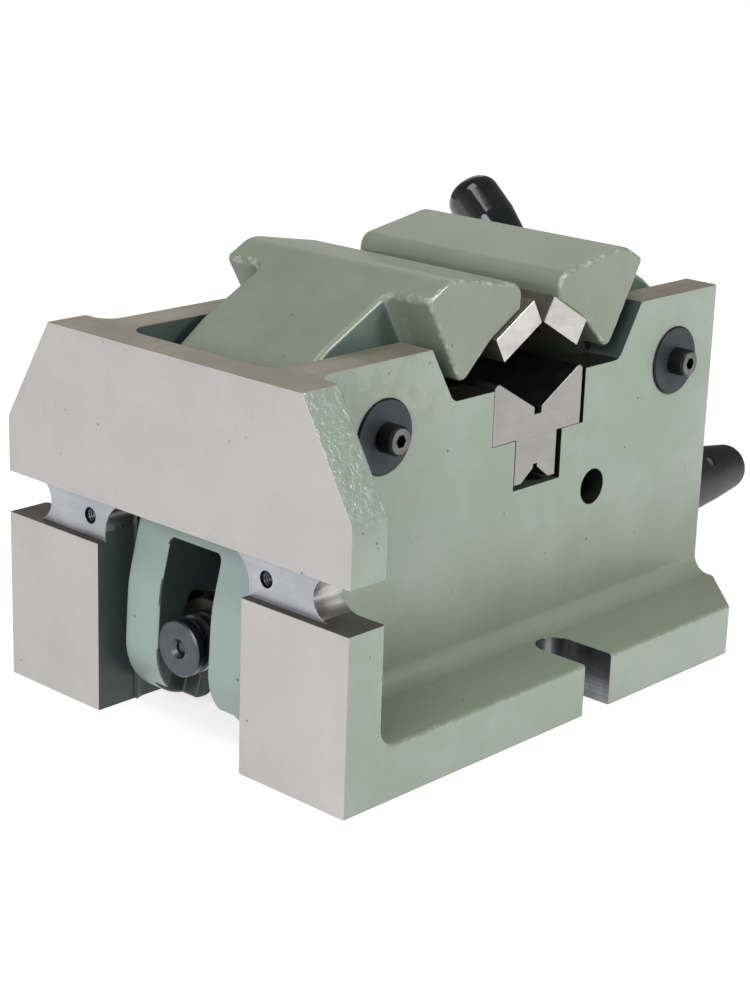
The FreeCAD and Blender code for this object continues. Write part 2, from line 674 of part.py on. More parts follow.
def build_handle():
    hub = new_body("handle_hub")
    start, neck, end = d.hub_start, d.hub_neck, d.hub_end
    turn(hub, "shell", corners=[
        (start, d.shank_radius), (start, d.hub_radius - 3), (start + 3, d.hub_radius),
        (start + 8, d.hub_radius), (neck, d.hub_neck_radius, 12),
        (end - d.hub_nose_radius * 0.45, d.hub_nose_radius, 8), (end, d.hub_nose_radius * 0.5, 5), (end, 0),
        (neck - 7, 0), (neck - 7, d.shank_radius)])
    extrude("Pocket", hub, "pin_hole", "XY_Plane", FAR, circles=[((d.hub_pin_place, 0), d.hub_pin_radius)])
    extrude("Pocket", hub, "lever_bore", "XZ_Plane", d.hub_radius * 2,
            offset=-d.shank_radius - d.hub_radius, circles=[((d.lever_place, 0), d.lever_radius)])
    place(hub, 0, 0, d.screw_height, Vector(1, 0, 0), 90 - d.lever_lean)

    pin = new_body("hub_pin")
    turn(pin, "roll", axis="V_Axis", corners=[
        (0, -14.6), (d.hub_pin_radius - 0.5, -14.6), (d.hub_pin_radius, -14.1), (d.hub_pin_radius, 14.1),
        (d.hub_pin_radius - 0.5, 14.6), (0, 14.6)])
    place(pin, d.hub_pin_place, 0, d.screw_height, Vector(1, 0, 0), 180 - d.lever_lean)

    # The lever stands square to the hub and leans towards the far side.
    rod = new_body("lever_rod")
    start = d.shank_radius + 0.5
    rod_end = d.grip_centre - d.grip_length / 2
    turn(rod, "rod", axis="V_Axis", corners=[
        (0, start), (d.lever_radius, start), (d.lever_radius, rod_end), (0, rod_end)])
    place(rod, d.lever_place, 0, d.screw_height, Vector(1, 0, 0), 90 - d.lever_lean)

    grip = new_body("lever_grip")
    low = d.grip_centre - d.grip_length
    high = d.grip_centre + d.grip_radius
    turn(grip, "knob", axis="V_Axis", corners=[
        (d.lever_radius, low), (d.grip_neck_radius, low, 1), (d.grip_neck_radius + 0.8, low + 22, 30),
        (d.grip_radius + 0.6, d.grip_centre - 12, 12), (d.grip_radius + 0.6, high - 3, 10),
        (d.grip_radius * 0.35, high, 3), (0, high), (0, rod_end), (d.lever_radius, rod_end)])
    place(grip, d.lever_place, 0, d.screw_height, Vector(1, 0, 0), 90 - d.lever_lean)


build_casting()
build_vee_block()
for side, name in ((-1, "left"), (1, "right")):
    build_jaw(side, f"{name}_jaw")
    build_pad(side, f"{name}_jaw")
    build_pivot(side, name)
    build_nut(side, name)
build_centre_bearing()
build_lead_screw()
build_handle()
doc.recompute()

faults = [item.Name for item in doc.Objects if {"Invalid", "Error"} & set(item.State)]
bodies = [item for item in doc.Objects if item.TypeId == "PartDesign::Body"]
faults += [body.Label for body in bodies if body.Shape.isNull() or not body.Shape.isValid()]
if faults:
    raise RuntimeError(f"not built: {', '.join(faults)}")

os.makedirs("parts", exist_ok=True)
for body in bodies:
    body.Shape.exportStep(f"parts/{body.Label}.step")
    print(f"{body.Label}: {body.Shape.Volume / 1000:.1f} cm3, {len(body.Shape.Faces)} faces")
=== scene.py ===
import json
import math

import bmesh
import bpy
from mathutils import Matrix, Vector


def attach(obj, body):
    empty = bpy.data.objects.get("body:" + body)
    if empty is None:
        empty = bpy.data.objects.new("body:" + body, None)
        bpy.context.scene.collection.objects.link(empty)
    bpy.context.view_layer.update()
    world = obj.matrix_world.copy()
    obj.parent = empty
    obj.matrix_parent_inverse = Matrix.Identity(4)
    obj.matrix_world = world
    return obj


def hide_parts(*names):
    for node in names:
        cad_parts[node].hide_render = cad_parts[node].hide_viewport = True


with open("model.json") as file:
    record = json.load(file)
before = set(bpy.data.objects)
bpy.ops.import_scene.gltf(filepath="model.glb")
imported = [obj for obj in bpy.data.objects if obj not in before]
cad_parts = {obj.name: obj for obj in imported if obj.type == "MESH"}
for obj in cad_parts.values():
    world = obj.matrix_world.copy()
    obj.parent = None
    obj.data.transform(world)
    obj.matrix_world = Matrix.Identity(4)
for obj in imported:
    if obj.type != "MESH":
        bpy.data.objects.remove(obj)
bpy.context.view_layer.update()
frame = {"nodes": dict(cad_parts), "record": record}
bodyOf = {node: body for body, nodes in frame["record"]["behaviour"]["bodies"].items() for node in nodes}
mm = 0.001
print("packed vise loaded")


class Value:  # a socket that can be added, multiplied and so on, one Math node for each sign
    def __init__(self, graph, socket):
        self.graph = graph
        self.socket = socket

    def __add__(self, other):
        return self.graph.math("ADD", self, other)

    def __radd__(self, other):
        return self.graph.math("ADD", other, self)

    def __sub__(self, other):
        return self.graph.math("SUBTRACT", self, other)

    def __rsub__(self, other):
        return self.graph.math("SUBTRACT", other, self)

    def __mul__(self, other):
        return self.graph.math("MULTIPLY", self, other)

    def __rmul__(self, other):
        return self.graph.math("MULTIPLY", other, self)


class Graph:  # makes every shader node, for the materials and for the room
    def __init__(self, tree, place):
        self.tree = tree
        self.tree.nodes.clear()
        self.place = self.node("ShaderNodeTexCoord").outputs[place]
        axes = self.node("ShaderNodeSeparateXYZ", inputs={"Vector": self.place})
        self.x, self.y, self.z = (Value(self, axes.outputs[axis]) for axis in "XYZ")

    def node(self, kind, settings=None, inputs=None):
        made = self.tree.nodes.new(kind)
        for key, value in (settings or {}).items():
            setattr(made, key, value)
        for key, value in (inputs or {}).items():
            self.feed(made.inputs[key], value)
        return made

    def feed(self, socket, value):
        if isinstance(value, Value):
            value = value.socket
        if isinstance(value, bpy.types.NodeSocket):
            self.tree.links.new(value, socket)
        elif socket.type == "RGBA":
            socket.default_value = (*value[:3], 1)
        else:
            socket.default_value = value

    def math(self, operation, *values):
        made = self.node("ShaderNodeMath", {"operation": operation}, dict(enumerate(values)))
        return Value(self, made.outputs[0])

    def step(self, value, low, high):
        made = self.node("ShaderNodeMapRange", {"interpolation_type": "SMOOTHSTEP", "clamp": True},
                         {"Value": value, "From Min": low, "From Max": high})
        return Value(self, made.outputs["Result"])

    def mix(self, share, first, second):
        made = self.node("ShaderNodeMix", {"data_type": "RGBA"})
        colours = [socket for socket in made.inputs if socket.type == "RGBA"]
        for socket, value in ((made.inputs["Factor"], share), (colours[0], first), (colours[1], second)):
            self.feed(socket, value)
        return next(socket for socket in made.outputs if socket.type == "RGBA")

    def rays(self, *kinds):
        path = self.node("ShaderNodeLightPath")
        shares = [Value(self, path.outputs[kind]) for kind in kinds]
        return sum(shares[1:], shares[0])


class Finish(Graph):
    def __init__(self, name):
        self.material = bpy.data.materials.new(name)
        self.material.use_nodes = True
        super().__init__(self.material.node_tree, "Object")
        self.shader = self.node("ShaderNodeBsdfPrincipled")
        self.node("ShaderNodeOutputMaterial", inputs={"Surface": self.shader.outputs["BSDF"]})

    def stretched(self, stretch):
        if stretch is None:
            return self.place
        return self.node("ShaderNodeMapping", inputs={"Vector": self.place, "Scale": stretch}).outputs[0]

    def noise(self, scale, detail=2, roughness=0.5, stretch=None):
        made = self.node("ShaderNodeTexNoise", inputs={
            "Vector": self.stretched(stretch), "Scale": scale, "Detail": detail, "Roughness": roughness})
        return Value(self, made.outputs["Fac"])

    def cells(self, scale):
        made = self.node("ShaderNodeTexVoronoi", inputs={"Vector": self.place, "Scale": scale})
        return Value(self, made.outputs["Distance"])

    def bump(self, height):
        made = self.node("ShaderNodeBump", inputs={"Height": height, "Distance": 1, "Strength": 1})
        return made.outputs[0]

    def set(self, **values):
        names = {"colour": "Base Color", "rough": "Roughness", "metal": "Metallic", "normal": "Normal",
                 "coat": "Coat Weight", "specular": "Specular IOR Level", "glow": "Emission Color",
                 "glowPower": "Emission Strength"}
        for key, value in values.items():
            self.feed(self.shader.inputs[names[key]], value)
        return self


# Paint on cast iron: clouded, with small pores. The casting's is lumpy on the end plate's shoulders, where
# painted shade darkens it and painted glints light the lumps, olive and pitted high on the walls, and darker
# with painted shade on the flanges and low on the walls. The jaws' is painted lighter and bluish towards the
# fork, as painted light.

# The edge colour is worn paint with painted glints. The shoulders' darker colour is painted shade, and so is
# the darker colour on the flanges.
bodyPaint = {
    "colour": (0.350, 0.405, 0.350), "shade": (0.300, 0.355, 0.295), "pore": (0.060, 0.075, 0.055),
    "edge": (0.52, 0.57, 0.51), "rough": 0.36, "lump": 0.17 * mm, "grain": 0.035 * mm,
    "poreDepth": 0.12 * mm, "low": None,
    "crustLump": 0.75 * mm, "crust": (0.255, 0.305, 0.265),
    "shoulderAlong": (-0.084, -0.136), "shoulderUp": (0.102, 0.122),
    "pitLump": 0.22 * mm, "olive": (0.230, 0.262, 0.190), "pittedUp": (0.112, 0.140),
    "flangeLump": 0.12 * mm, "dirt": (0.150, 0.168, 0.112),
    "flangeShadeDown": (0.094, 0.040), "flangeTop": (0.0218, 0.0231), "plateFoot": (-0.1355, -0.126),
}
# The jaws' edge colour is worn paint with painted glints; their lighter bluish colour low down is painted
# light.
jawPaint = {
    "colour": (0.252, 0.290, 0.228), "shade": (0.222, 0.258, 0.198), "pore": (0.08, 0.10, 0.075),
    "edge": (0.50, 0.55, 0.48), "rough": 0.32, "lump": 0.13 * mm, "grain": 0.02 * mm,
    "poreDepth": 0.12 * mm, "crust": None, "dirt": None,
    "low": (0.345, 0.440, 0.415), "lowDown": (0.128, 0.092),
}
# Painted shade: a darker teal for the arms' sides.
armShadePaint = dict(jawPaint, colour=(0.120, 0.170, 0.150), shade=(0.100, 0.145, 0.130), low=None)
# Painted shade, darker still, for the walls' insides, the mouth's slopes and the fork.
shadePaint = dict(armShadePaint, colour=(0.070, 0.098, 0.092), shade=(0.050, 0.072, 0.068))


def enamel(name, sizes, edge=False):
    look = Finish(name)
    cloud = look.noise(13, 3, 0.6)
    mottle = look.noise(110, 3, 0.6)
    colour = look.mix(look.step(cloud + mottle * 0.4, 0.52, 0.88), sizes["shade"], sizes["colour"])
    # painted light: lighter and bluish towards the bottom of the jaws
    if sizes["low"]:
        colour = look.mix(look.step(look.z + cloud * 0.01, *sizes["lowDown"]), colour, sizes["low"])
    patches = look.noise(48, 1)
    if sizes["crust"]:  # more pores high on the walls and on the end plate
        patches = patches + look.step(look.z, *sizes["pittedUp"]) * look.step(look.x, -0.02, -0.07) * 0.14
        patches = patches + look.step(look.x, -0.134, -0.136) * 0.10
    pores = look.step(look.cells(150), 0.12, 0.06) * look.step(patches, 0.57, 0.66)
    colour = look.mix(pores * 0.8, colour, sizes["pore"])
    # the edges: worn paint, with painted glints in lighter patches
    if edge:
        colour = look.mix(look.step(look.noise(340, 2, 0.6), 0.48, 0.66) * 0.6, colour, sizes["edge"])
    lumps = look.noise(95, 2, 0.5) * sizes["lump"] + look.noise(520, 2, 0.55) * sizes["grain"]
    height = lumps - pores * sizes["poreDepth"]
    rough = sizes["rough"] - 0.13 * edge + (mottle - 0.5) * 0.16 + pores * 0.3
    if sizes["crust"]:
        shoulder = look.step(look.x, *sizes["shoulderAlong"]) * look.step(look.z, *sizes["shoulderUp"])
        crust = look.noise(210, 3, 0.6)
        height = height + shoulder * crust * sizes["crustLump"]
        # painted shade darkens the shoulders, and painted glints light the tops of the lumps
        colour = look.mix(shoulder * 0.85, colour, sizes["crust"])
        colour = look.mix(shoulder * look.step(crust, 0.57, 0.72) * 0.4, colour, sizes["edge"])
        rough = rough - shoulder * 0.10
        pitted = look.step(look.z, *sizes["pittedUp"]) * look.step(look.x, -0.02, -0.08)
        colour = look.mix(pitted * look.step(mottle, 0.42, 0.62) * 0.45, colour, sizes["olive"])
        height = height + pitted * look.noise(330, 3, 0.6, stretch=(0.5, 1, 1.4)) * sizes["pitLump"]
    if sizes["dirt"]:  # painted shade, which lies on the flanges and thins out up the wall, over small lumps
        reach = look.step(look.z + look.noise(24, 3, 0.6) * 0.02, *sizes["flangeShadeDown"])
        corner = look.step(look.z, *sizes["flangeTop"]) * look.step(look.x, *sizes["plateFoot"])
        colour = look.mix(reach * corner * 0.62, colour, sizes["dirt"])
        height = height + reach * corner * look.noise(420, 2, 0.6) * sizes["flangeLump"]
    return look.set(colour=colour, rough=rough, normal=look.bump(height), specular=0.5)


# Ground and machined steel and iron. "along" stretches the tool's marks, "marks" is their depth, and
# "streak" is how far they show in the colour.

groundFaces = {
    "groundEnd": {"colour": (0.525, 0.505, 0.492), "shade": (0.475, 0.457, 0.446), "rough": 0.44,
                  "metal": 0.70, "along": (60, 260, 9), "marks": 0.004 * mm, "streak": 0.25},
    "groundTop": {"colour": (0.43, 0.382, 0.320), "shade": (0.29, 0.260, 0.222), "rough": 0.42,
                  "metal": 0.65, "along": (9, 500, 60), "marks": 0.008 * mm, "streak": 0.5},
    "keySlot": {"colour": (0.47, 0.48, 0.52), "shade": (0.37, 0.38, 0.42), "rough": 0.40, "metal": 0.75,
                "along": (60, 30, 420), "marks": 0.02 * mm, "streak": 0.5},
    "groundVee": {"colour": (0.35, 0.34, 0.328), "shade": (0.30, 0.29, 0.278), "rough": 0.40, "metal": 0.75,
                  "along": (20, 60, 500), "marks": 0.008 * mm, "streak": 0.5},
    "padEnd": {"colour": (0.56, 0.548, 0.53), "shade": (0.42, 0.41, 0.395), "rough": 0.26, "metal": 0.9,
               "along": (40, 60, 300), "marks": 0.02 * mm, "streak": 0.5},
    "padSide": {"colour": (0.25, 0.235, 0.215), "shade": (0.18, 0.17, 0.155), "rough": 0.36, "metal": 0.85,
                "along": (30, 14, 500), "marks": 0.008 * mm, "streak": 0.5},
}


def ground(name, sizes):
    look = Finish(name)
    blotch = look.noise(34, 3, 0.6)
    lines = look.noise(1, 3, 0.65, stretch=sizes["along"])
    middle = 0.5 + sizes["streak"] / 2
    light = look.step(blotch + lines * sizes["streak"], middle - 0.2, middle + 0.2)
    colour = look.mix(light, sizes["shade"], sizes["colour"])
    specks = look.step(look.cells(75), 0.060, 0.03) * look.step(look.noise(30, 1), 0.50, 0.58)
    colour = look.mix(specks * 0.75, colour, (0.12, 0.115, 0.11))
    rough = sizes["rough"] + (blotch - 0.5) * 0.16 + (lines - 0.5) * 0.10
    normal = look.bump(lines * sizes["marks"])
    return look.set(colour=colour, rough=rough, metal=sizes["metal"], normal=normal)


machinedFaces = {
    "milled": {"colour": (0.50, 0.49, 0.47), "shade": (0.26, 0.255, 0.245), "rough": 0.27, "metal": 0.92,
               "along": (30, 30, 900), "marks": 0.03 * mm},
    # Painted shade: dark brown for the key slot's flat ledges, which face up.
    "slotLedgeShade": {"colour": (0.115, 0.104, 0.088), "shade": (0.070, 0.063, 0.054), "rough": 0.42,
                  "metal": 0.5, "along": (60, 20, 60), "marks": 0.02 * mm},
    "baseSlot": {"colour": (0.235, 0.238, 0.245), "shade": (0.13, 0.132, 0.136), "rough": 0.24,
                 "metal": 0.92, "along": (30, 30, 700), "marks": 0.02 * mm},
    # Painted shade: near-black metal in the small bores, the vee slot, the mouth's floor and round the vee
    # block.
    "shadeMetal": {"colour": (0.070, 0.070, 0.068), "shade": (0.035, 0.035, 0.034), "rough": 0.36,
                 "metal": 0.8, "along": (60, 200, 60), "marks": 0.02 * mm},
    "turned": {"colour": (0.50, 0.495, 0.52), "shade": (0.32, 0.315, 0.335), "rough": 0.30, "metal": 0.92,
               "along": (900, 30, 30), "marks": 0.012 * mm},
    "oiled": {"colour": (0.105, 0.110, 0.130), "shade": (0.063, 0.066, 0.080), "rough": 0.32, "metal": 0.92,
              "along": (700, 30, 30), "marks": 0.012 * mm},
    # Painted shade: the nut is black where the fork shades it.
    "nutBlack": {"colour": (0.050, 0.046, 0.042), "shade": (0.028, 0.026, 0.024), "rough": 0.36,
                 "metal": 0.85, "along": (500, 30, 30), "marks": 0.02 * mm},
    "bronze": {"colour": (0.26, 0.175, 0.085), "shade": (0.16, 0.105, 0.05), "rough": 0.38, "metal": 0.9,
               "along": (500, 30, 30), "marks": 0.02 * mm},
}


def machined(name, sizes):
    look = Finish(name)
    lines = look.noise(1, 3, 0.6, stretch=sizes["along"])
    stain = look.noise(60, 3, 0.6)
    colour = look.mix(look.step(stain * 0.6 + lines * 0.4, 0.35, 0.65), sizes["shade"], sizes["colour"])
    return look.set(colour=colour, metal=sizes["metal"], rough=sizes["rough"] + (stain - 0.5) * 0.2,
                    normal=look.bump(lines * sizes["marks"]))


blackFaces = {
    "veeFace": {"colour": (0.020, 0.020, 0.020), "shade": (0.009, 0.009, 0.009), "rough": 0.42,
                "metal": 0.6, "coat": 0},
    "capFace": {"colour": (0.044, 0.050, 0.058), "shade": (0.035, 0.040, 0.047), "rough": 0.55,
                "metal": 0.5, "coat": 0},
    "capRim": {"colour": (0.012, 0.012, 0.013), "shade": (0.008, 0.008, 0.009), "rough": 0.38,
               "metal": 0.6, "coat": 0},
    "screwFace": {"colour": (0.17, 0.160, 0.165), "shade": (0.12, 0.112, 0.115), "rough": 0.40,
                  "metal": 0.7, "coat": 0},
    "blackHub": {"colour": (0.008, 0.008, 0.009), "shade": (0.005, 0.005, 0.006), "rough": 0.46,
                 "metal": 0.1, "coat": 0},
    "blackGrip": {"colour": (0.010, 0.011, 0.014), "shade": (0.006, 0.007, 0.009), "rough": 0.14,
                  "metal": 0, "coat": 0.6},
}


def blackened(name, sizes):
    look = Finish(name)
    cloud = look.noise(90, 3, 0.6)
    colour = look.mix(look.step(cloud, 0.35, 0.65), sizes["shade"], sizes["colour"])
    return look.set(colour=colour, metal=sizes["metal"], rough=sizes["rough"] + (cloud - 0.5) * 0.12,
                    normal=look.bump(look.noise(600) * (0.02 * mm)), coat=sizes["coat"])


finishes = {
    "bodyPaint": enamel("bodyPaint", bodyPaint), "bodyEdgeWearAndGlint": enamel("bodyEdgeWearAndGlint", bodyPaint, edge=True),
    "jawPaint": enamel("jawPaint", jawPaint), "jawEdge": enamel("jawEdge", jawPaint, edge=True),
    "armShadePaint": enamel("armShadePaint", armShadePaint), "shadePaint": enamel("shadePaint", shadePaint),
}
finishes.update({name: ground(name, sizes) for name, sizes in groundFaces.items()})
finishes.update({name: machined(name, sizes) for name, sizes in machinedFaces.items()})
finishes.update({name: blackened(name, sizes) for name, sizes in blackFaces.items()})
print(f"{len(finishes)} finishes made")


def nodeShape(node):
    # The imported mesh, with its triangles joined and its flat runs made one face again.
    shape = bmesh.new()
    shape.from_mesh(frame["nodes"][node].data)
    bmesh.ops.remove_doubles(shape, verts=shape.verts, dist=0.002 * mm)
    bmesh.ops.dissolve_limit(shape, angle_limit=math.radians(0.3), verts=shape.verts, edges=shape.edges)
    shape.normal_update()
    return shape


sharpEdge = math.radians(28)


def roundEdges(shape, width, segments=2, wanted=None, finish=-1):
    edges = [edge for edge in shape.edges if len(edge.link_faces) == 2
             and edge.calc_face_angle(0) > sharpEdge and (wanted is None or wanted(edge))]
    if edges:
        bmesh.ops.bevel(shape, geom=edges, offset=width, offset_type="OFFSET", segments=segments,
                        profile=0.5, affect="EDGES", material=finish, clamp_overlap=False)
    shape.normal_update()


def paintFaces(shape, looks, chosen):
    for face in shape.faces:
        face.material_index = looks.index(chosen(face))


def between(edge, looks, *names):  # whether both faces of an edge have one of these looks
    return all(looks[face.material_index] in names for face in edge.link_faces)


def near(value, target, gap=0.4):
    return abs(value - target) < gap


def inRing(across, up, ring):
    return math.hypot(across - ring[0], up - ring[1]) < ring[2]


def endLook(end, rim):  # one look for the faces at both ends along Y, another for the rest
    return lambda face: end if abs(face.normal.y) > 0.9 else rim


def addPiece(shape, name, body, looks, replaced=(), crease=40):
    mesh = bpy.data.meshes.new(name)
    shape.to_mesh(mesh)
    shape.free()
    for look in looks:
        mesh.materials.append(finishes[look].material)
    mesh.shade_smooth()
    mesh.set_sharp_from_angle(angle=math.radians(crease))
    piece = bpy.data.objects.new(name, mesh)
    bpy.context.scene.collection.objects.link(piece)
    evenFaces = piece.modifiers.new("evenFaces", "WEIGHTED_NORMAL")
    evenFaces.keep_sharp = True
    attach(piece, body)
    if replaced:
        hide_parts(*replaced)
    return piece


def camelName(node):
    words = node.split("_")
    return words[0] + "".join(word.capitalize() for word in words[1:])


def dress(node, sizes, chosen=None):
    shape = nodeShape(node)
    paintFaces(shape, sizes["looks"], chosen or (lambda face: sizes["looks"][0]))
    if sizes["edge"]:
        roundEdges(shape, sizes["edge"])
    return addPiece(shape, camelName(node), bodyOf[node], sizes["looks"], [node])


# Body casting: painted, ground on top, underneath and on its end, and machined in its slots and bores.
# Painted shade darkens its small bores, the key slot's ledges, the vee slot, the mouth under the jaws and
# the space between its walls. The places are in millimetres, and a ring is (across, up, radius).

casting = {
    "looks": ["bodyPaint", "bodyEdgeWearAndGlint", "groundEnd", "groundTop", "keySlot", "milled", "shadeMetal",
              "slotLedgeShade", "baseSlot", "shadePaint"],
    "castEdge": 1.5 * mm, "crispEdge": 0.3 * mm,
    "endFace": -155, "keySlotFloor": -151, "plateBack": -134.8, "plateFront": -154.9, "frontEnd": 149.9,
    "top": 161.5, "keySlotUp": 83, "keySlotHalf": 9.6, "wallInside": 42, "wallMiddle": 58, "archTop": 118,
    "keyScrew": (52, 83, 3.6), "stopBore": (41, 82.5, 8.3), "pivotBore": (96, 131, 12.3),
    "baseSlotHalf": 9.3, "baseSlotAcross": (67.5, 99.5), "flangeTop": 24,
    "veeSlotAlong": (-29.6, 31.8), "veeSlotUp": (91, 140.5), "mouthHalf": 84, "mouthUp": (118, 160),
}


def machinedLook(n, c):
    if n.x < -0.99 and near(c.x, casting["endFace"]) or n.z < -0.99 and near(c.z, 0):
        return "groundEnd"
    if n.x < -0.99 and near(c.x, casting["keySlotFloor"]):
        return "keySlot"
    if n.z > 0.99 and near(c.z, casting["top"]):
        return "groundTop"
    # painted shade inside the tapped holes and the stop bore
    if abs(n.x) < 0.5 and c.x < -120 and inRing(abs(c.y), c.z, casting["keyScrew"]):
        return "shadeMetal"
    if abs(n.y) < 0.5 and inRing(c.x, c.z, casting["stopBore"]):
        return "shadeMetal"
    if abs(n.y) < 0.5 and inRing(abs(c.x), c.z, casting["pivotBore"]):
        return "milled"
    inNotch = c.x < casting["plateBack"] and near(c.z, casting["keySlotUp"], casting["keySlotHalf"])
    # the notch's flat ledges take painted shade
    if inNotch and abs(n.x) < 0.1:
        return "slotLedgeShade" if abs(n.z) > 0.9 else "milled"
    low, high = casting["baseSlotAcross"]
    inBaseSlot = abs(c.x) < casting["baseSlotHalf"] and low < abs(c.y) < high and c.z < casting["flangeTop"]
    return "baseSlot" if inBaseSlot and abs(n.z) < 0.1 else None


def castingLook(face):
    n = face.normal
    c = face.calc_center_median() / mm
    look = machinedLook(n, c)
    if look:
        return look
    back, front = casting["veeSlotAlong"]
    low, high = casting["veeSlotUp"]
    # painted shade in the vee slot through the walls
    throughWall = abs(n.y) < 0.1 and abs(c.y) > casting["wallInside"]
    if throughWall and back < c.x < front and low < c.z < high:
        return "shadeMetal"
    low, high = casting["mouthUp"]
    # painted shade on the mouth's floor and slopes under the jaws
    if throughWall and abs(c.x) < casting["mouthHalf"] and low < c.z < high and n.z > 0.15:
        return "shadeMetal" if n.z > 0.9 else "shadePaint"
    underArch = c.z < casting["archTop"]
    inArch = c.x > casting["plateFront"] and underArch and abs(n.x) < 0.5
    inWalls = abs(c.y) < casting["wallMiddle"] and c.z < casting["top"] - 0.5 and c.y * n.y <= 0
    behindArch = abs(c.y) < casting["wallMiddle"] and underArch and -136 < c.x < -100
    # painted shade between the walls, under the arch and behind the end plate
    if behindArch or inWalls and (inArch or casting["plateBack"] - 0.1 < c.x < casting["frontEnd"]):
        return "shadePaint"
    return "bodyPaint"


def makeCasting():
    looks = casting["looks"]
    shape = nodeShape("body_casting")
    paintFaces(shape, looks, castingLook)
    roundEdges(shape, casting["castEdge"], 3, lambda edge: between(edge, looks, "bodyPaint"),
               finish=looks.index("bodyEdgeWearAndGlint"))
    roundEdges(shape, casting["crispEdge"], 2,
               lambda edge: not between(edge, looks, "bodyPaint", "bodyEdgeWearAndGlint"))
    return addPiece(shape, "bodyCasting", "body", looks, ["body_casting"])


makeCasting()
print("body casting finished")

# Jaws: the ends and the crest are round already, so the fork, the seat and the underside are rounded here.
# The narrow faces around the bar's ends are beads, painted lighter as worn paint with painted glints.
# Painted shade darkens the arms' sides, the fork, its floor and the arms' lower backs.

jaw = {
    "looks": ["jawPaint", "jawEdge", "milled", "armShadePaint", "shadePaint"],
    "castEdge": 1.2 * mm, "bead": 0.9 * mm, "beadAcross": 40, "armHalf": 45, "bore": (96, 131, 15.3),
    "slotHalf": 16, "slotTop": 112, "floorHalf": 14.6, "floorTop": 75, "backReach": 132, "backTop": 50,
}


def jawLook(face):
    n = face.normal
    c = face.calc_center_median() / mm
    if abs(n.y) < 0.5 and inRing(abs(c.x), c.z, jaw["bore"]):
        return "milled"
    inSlot = abs(c.y) < jaw["slotHalf"] and c.y * n.y <= 0.001 and c.z < jaw["slotTop"] and abs(n.x) < 0.95
    onFloor = abs(c.y) < jaw["floorHalf"] and c.z < jaw["floorTop"]
    onBack = abs(c.x) < jaw["backReach"] and c.z < jaw["backTop"]
    # painted shade in the fork, on its floor and low on the arms' backs
    if inSlot or onFloor or onBack:
        return "shadePaint"
    # painted shade on the arms' sides
    if abs(n.y) > 0.95 and abs(c.y) < jaw["armHalf"]:
        return "armShadePaint"
    # the beads: worn paint with painted glints
    width = face.calc_area() / max(edge.calc_length() for edge in face.edges)
    return "jawEdge" if width < jaw["bead"] and abs(c.y) > jaw["beadAcross"] else "jawPaint"


def makeJaw(side):
    looks = jaw["looks"]
    shape = nodeShape(f"{side}_jaw")
    paintFaces(shape, looks, jawLook)
    roundEdges(shape, jaw["castEdge"], 3,
               lambda edge: between(edge, looks, "jawPaint", "armShadePaint", "shadePaint"))
    return addPiece(shape, f"{side}Jaw", f"{side}_jaw", looks, [f"{side}_jaw"])


for side in ("left", "right"):
    makeJaw(side)
print("jaws finished")

pad = {"looks": ["padEnd", "padSide"], "edge": 0.4 * mm}
padScrew = {"looks": ["capRim"], "edge": 0.2 * mm}
for side in ("left", "right"):
    dress(f"{side}_jaw_pad", pad, endLook("padEnd", "padSide"))
    for spot in ("near", "middle", "far"):
        dress(f"{side}_jaw_pad_screw_{spot}", padScrew)
print("pads finished")

veeBlock = {"looks": ["groundVee", "veeFace", "shadeMetal"], "edge": 0.4 * mm, "veeHalf": 27, "veeFoot": 120}


def veeLook(face):
    n, c = face.normal, face.calc_center_median() / mm
    if abs(n.y) > 0.9:
        return "groundVee"
    inVee = abs(c.x) < veeBlock["veeHalf"] and c.z > veeBlock["veeFoot"] and n.z > 0.3
    # the faces off the ends and the vee take painted shade
    return "veeFace" if inVee else "shadeMetal"


dress("vee_block", veeBlock, veeLook)
print("vee block finished")

# Pivots, with their caps outside the walls, and the trunnion nuts.

pivotPin = {"looks": ["turned"], "edge": 0.2 * mm}
pivotBush = {"looks": ["bronze"], "edge": 0.3 * mm}
pivotWasher = {"looks": ["turned"], "edge": 0.3 * mm}
pivotCap = {"looks": ["capFace", "capRim"], "edge": 0.2 * mm}
capScrew = {"looks": ["screwFace", "capRim"], "edge": 0.2 * mm, "headEnd": 67 * mm}
nut = {"looks": ["nutBlack"], "edge": 0.4 * mm}


def capScrewLook(face):
    onHead = abs(face.normal.y) > 0.9 and abs(face.calc_center_median().y) > capScrew["headEnd"]
    return "screwFace" if onHead else "capRim"


for side in ("left", "right"):
    dress(f"{side}_pivot_pin", pivotPin)
    dress(f"{side}_pivot_bush", pivotBush)
    dress(f"{side}_nut", nut)
    for spot in ("near", "far"):
        dress(f"{side}_{spot}_washer", pivotWasher)
        dress(f"{side}_{spot}_cap", pivotCap, endLook("capFace", "capRim"))
        dress(f"{side}_{spot}_cap_screw", capScrew, capScrewLook)
print("pivots and nuts finished")

bearing = {"looks": ["bodyPaint"], "edge": 0.8 * mm}
bearingScrew = {"looks": ["capRim"], "edge": 0.2 * mm}
dress("bearing_cap", bearing)
for spot in ("near", "far"):
    dress(f"bearing_screw_{spot}", bearingScrew)
print("centre bearing finished")

hub = {"looks": ["blackHub"], "edge": 0}
hubPin = {"looks": ["turned"], "edge": 0.15 * mm}
leverRod = {"looks": ["turned"], "edge": 0.3 * mm}
grip = {"looks": ["blackGrip"], "edge": 0}
dress("handle_hub", hub)
dress("hub_pin", hubPin)
dress("lever_rod", leverRod)
dress("lever_grip", grip)
print("handle finished")

# Lead screw: a left hand thread on the left, a right hand thread on the right, with crests given the bright
# turned look as a painted highlight. "stub", "middle" and "shank" are half sections of (along, radius) in
# millimetres, turned about its axis.

